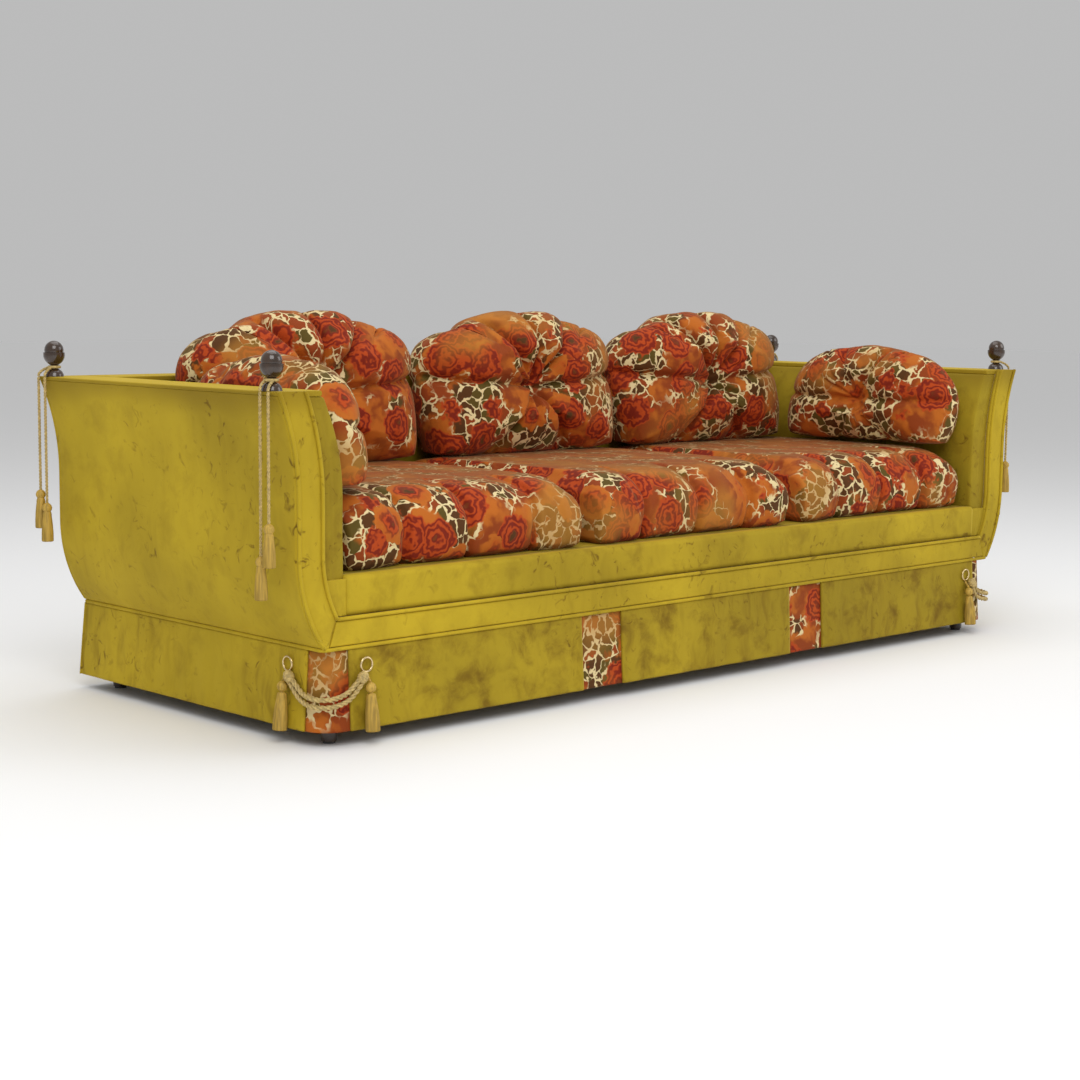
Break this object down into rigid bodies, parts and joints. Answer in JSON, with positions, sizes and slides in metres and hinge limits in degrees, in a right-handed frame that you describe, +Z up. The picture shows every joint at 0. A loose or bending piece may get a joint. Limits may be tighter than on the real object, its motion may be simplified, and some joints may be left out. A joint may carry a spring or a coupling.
{
  "type": "sofa",
  "caption": "Long velvet sofa with flared ogee arms, corner finials with tasselled cords, a pleated skirt with tie-backs, and loose gathered floral cushions",
  "frame": {"origin": "on the floor under the middle of the sofa", "axes": "+X along the sofa to the sitter's left, +Y from front to back, +Z up"},
  "size_m": [2.5475, 0.9364, 0.8764],
  "materials": {
    "olive_velvet": "crushed velvet, olive gold",
    "floral_velvet": "cut velvet with a floral figure in rust, orange, olive and cream",
    "frame_wood": "planed hardwood, unfinished",
    "dark_wood": "dark brown lacquer",
    "webbing": "woven jute webbing and plain dust cloth",
    "steel": "zinc plated",
    "glide_plastic": "black nylon",
    "brass": "pale polished brass",
    "gold_cord": "twisted silk cord, pale gold",
    "gold_tassel": "bound silk threads, gold"
  },
  "bodies": {
    "frame": {"seat_rails": "frame_wood", "end_rails": "frame_wood", "seat_braces": "frame_wood", "arm_posts": "frame_wood", "arm_top_rails": "frame_wood", "back_rails": "frame_wood", "back_uprights": "frame_wood", "seat_webbing": "webbing", "back_webbing": "webbing", "dust_cover": "webbing", "outside_arm_left": "olive_velvet", "outside_arm_right": "olive_velvet", "inside_arm_pad_left": "olive_velvet", "inside_arm_pad_right": "olive_velvet", "arm_facing_left": "olive_velvet", "arm_facing_right": "olive_velvet", "top_caps": "olive_velvet", "outside_back": "olive_velvet", "inside_back_pad": "olive_velvet", "front_border": "olive_velvet", "seat_front_lip": "olive_velvet", "seat_deck_pad": "olive_velvet", "arm_welts": "olive_velvet", "base_welt": "olive_velvet", "skirt_front_left": "olive_velvet", "skirt_front_centre": "olive_velvet", "skirt_front_right": "olive_velvet", "skirt_side_left": "olive_velvet", "skirt_side_right": "olive_velvet", "skirt_rear": "olive_velvet", "pleat_inserts": "floral_velvet", "legs": "dark_wood", "finials": "dark_wood", "leg_fixings": "steel", "finial_screws": "steel", "glides": "glide_plastic", "tieback_rings": "brass", "finial_loops": "gold_cord", "tieback_ropes": "gold_cord", "tieback_knots": "gold_cord"},
    "seat_left": {"seat_cushion_left": "floral_velvet"},
    "back_left": {"back_cushion_left": "floral_velvet"},
    "seat_centre": {"seat_cushion_centre": "floral_velvet"},
    "back_centre": {"back_cushion_centre": "floral_velvet"},
    "seat_right": {"seat_cushion_right": "floral_velvet"},
    "back_right": {"back_cushion_right": "floral_velvet"},
    "arm_left": {"arm_cushion_left": "floral_velvet"},
    "cords_front_left": {"cord_strands_front_left": "gold_cord", "cord_tassels_front_left": "gold_tassel"},
    "cords_rear_left": {"cord_strands_rear_left": "gold_cord", "cord_tassels_rear_left": "gold_tassel"},
    "tie_front_left": {"tieback_tassel_front_left": "gold_tassel"},
    "tie_side_left": {"tieback_tassel_side_left": "gold_tassel"},
    "arm_right": {"arm_cushion_right": "floral_velvet"},
    "cords_front_right": {"cord_strands_front_right": "gold_cord", "cord_tassels_front_right": "gold_tassel"},
    "cords_rear_right": {"cord_strands_rear_right": "gold_cord", "cord_tassels_rear_right": "gold_tassel"},
    "tie_front_right": {"tieback_tassel_front_right": "gold_tassel"},
    "tie_side_right": {"tieback_tassel_side_right": "gold_tassel"}
  },
  "joints": [
    {"name": "lift_seat_left", "type": "slide", "parent": "frame", "child": "seat_left", "axis": [0, 0, 1], "range_m": [0, 0.08]},
    {"name": "lift_back_left", "type": "slide", "parent": "seat_left", "child": "back_left", "axis": [0, 0, 1], "range_m": [0, 0.3]},
    {"name": "lift_seat_centre", "type": "slide", "parent": "frame", "child": "seat_centre", "axis": [0, 0, 1], "range_m": [0, 0.08]},
    {"name": "lift_back_centre", "type": "slide", "parent": "seat_centre", "child": "back_centre", "axis": [0, 0, 1], "range_m": [0, 0.3]},
    {"name": "lift_seat_right", "type": "slide", "parent": "frame", "child": "seat_right", "axis": [0, 0, 1], "range_m": [0, 0.08]},
    {"name": "lift_back_right", "type": "slide", "parent": "seat_right", "child": "back_right", "axis": [0, 0, 1], "range_m": [0, 0.3]},
    {"name": "lift_arm_left", "type": "slide", "parent": "seat_left", "child": "arm_left", "axis": [0, 0, 1], "range_m": [0, 0.3]},
    {"name": "swing_cords_front_left", "type": "hinge", "parent": "frame", "child": "cords_front_left", "pos_m": [-1.2606, -0.40475, 0.712], "axis": [0, 1, 0], "range_deg": [-4, 60]},
    {"name": "swing_cords_rear_left", "type": "hinge", "parent": "frame", "child": "cords_rear_left", "pos_m": [-1.2606, 0.42175, 0.712], "axis": [0, 1, 0], "range_deg": [-4, 60]},
    {"name": "swing_tie_front_left", "type": "hinge", "parent": "frame", "child": "tie_front_left", "pos_m": [-1.043, -0.44907, 0.143], "axis": [-1, 0, 0], "range_deg": [0, 30]},
    {"name": "swing_tie_side_left", "type": "hinge", "parent": "frame", "child": "tie_side_left", "pos_m": [-1.15657, -0.3355, 0.143], "axis": [0, 1, 0], "range_deg": [0, 30]},
    {"name": "lift_arm_right", "type": "slide", "parent": "seat_right", "child": "arm_right", "axis": [0, 0, 1], "range_m": [0, 0.3]},
    {"name": "swing_cords_front_right", "type": "hinge", "parent": "frame", "child": "cords_front_right", "pos_m": [1.2606, -0.40475, 0.712], "axis": [0, -1, 0], "range_deg": [-4, 60]},
    {"name": "swing_cords_rear_right", "type": "hinge", "parent": "frame", "child": "cords_rear_right", "pos_m": [1.2606, 0.42175, 0.712], "axis": [0, -1, 0], "range_deg": [-4, 60]},
    {"name": "swing_tie_front_right", "type": "hinge", "parent": "frame", "child": "tie_front_right", "pos_m": [1.043, -0.44907, 0.143], "axis": [-1, 0, 0], "range_deg": [0, 30]},
    {"name": "swing_tie_side_right", "type": "hinge", "parent": "frame", "child": "tie_side_right", "pos_m": [1.15657, -0.3355, 0.143], "axis": [0, -1, 0], "range_deg": [0, 30]}
  ]
}
